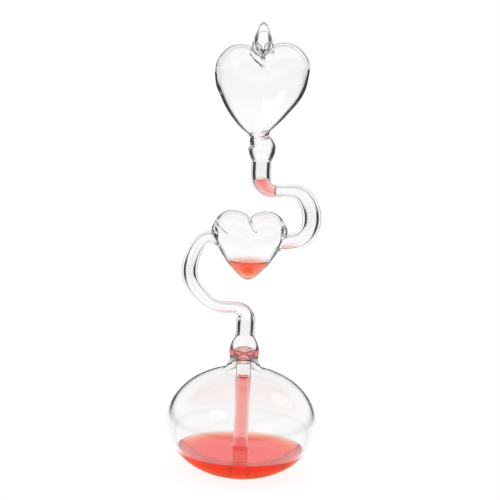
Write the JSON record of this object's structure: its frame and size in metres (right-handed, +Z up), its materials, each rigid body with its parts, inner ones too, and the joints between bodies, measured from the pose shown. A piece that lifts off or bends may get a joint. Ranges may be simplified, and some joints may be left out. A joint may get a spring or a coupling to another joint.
{
  "type": "hand boiler",
  "caption": "Lamp-blown glass hand boiler: round base bulb, heart-shaped upper bulbs on bent tubes and red liquid inside.",
  "frame": {"origin": "centre of the flat foot, on the dip tube's axis, at floor level", "axes": "+Z up; the hearts and bends lie in the XZ plane and face -Y; +X is to the viewer's right"},
  "size_m": [0.0604, 0.0604, 0.1835],
  "materials": {
    "clear_glass": "clear, fire-polished",
    "red_liquid": "clear dyed liquid"
  },
  "bodies": {
    "vessel": {"base_bulb": "clear_glass", "dip_tube": "clear_glass", "ring_seal": "clear_glass", "lower_collar": "clear_glass", "lower_stem": "clear_glass", "lower_bend": "clear_glass", "middle_heart": "clear_glass", "upper_bend": "clear_glass", "upper_stem": "clear_glass", "upper_collar": "clear_glass", "top_heart": "clear_glass", "sealing_tip": "clear_glass", "base_liquid": "red_liquid", "riser_column": "red_liquid", "collar_liquid": "red_liquid", "heart_liquid": "red_liquid", "bend_liquid": "red_liquid", "arm_liquid": "red_liquid"},
    "riser_level": {"riser_meniscus": "red_liquid"}
  },
  "joints": [
    {"name": "riser_slide", "type": "slide", "parent": "vessel", "child": "riser_level", "axis": [0, 0, 1], "range_m": [-0.0265, 0.011], "stiffness_N_per_m": 0.2, "springref_m": 0.00207, "deforming": ["riser_column"]}
  ]
}
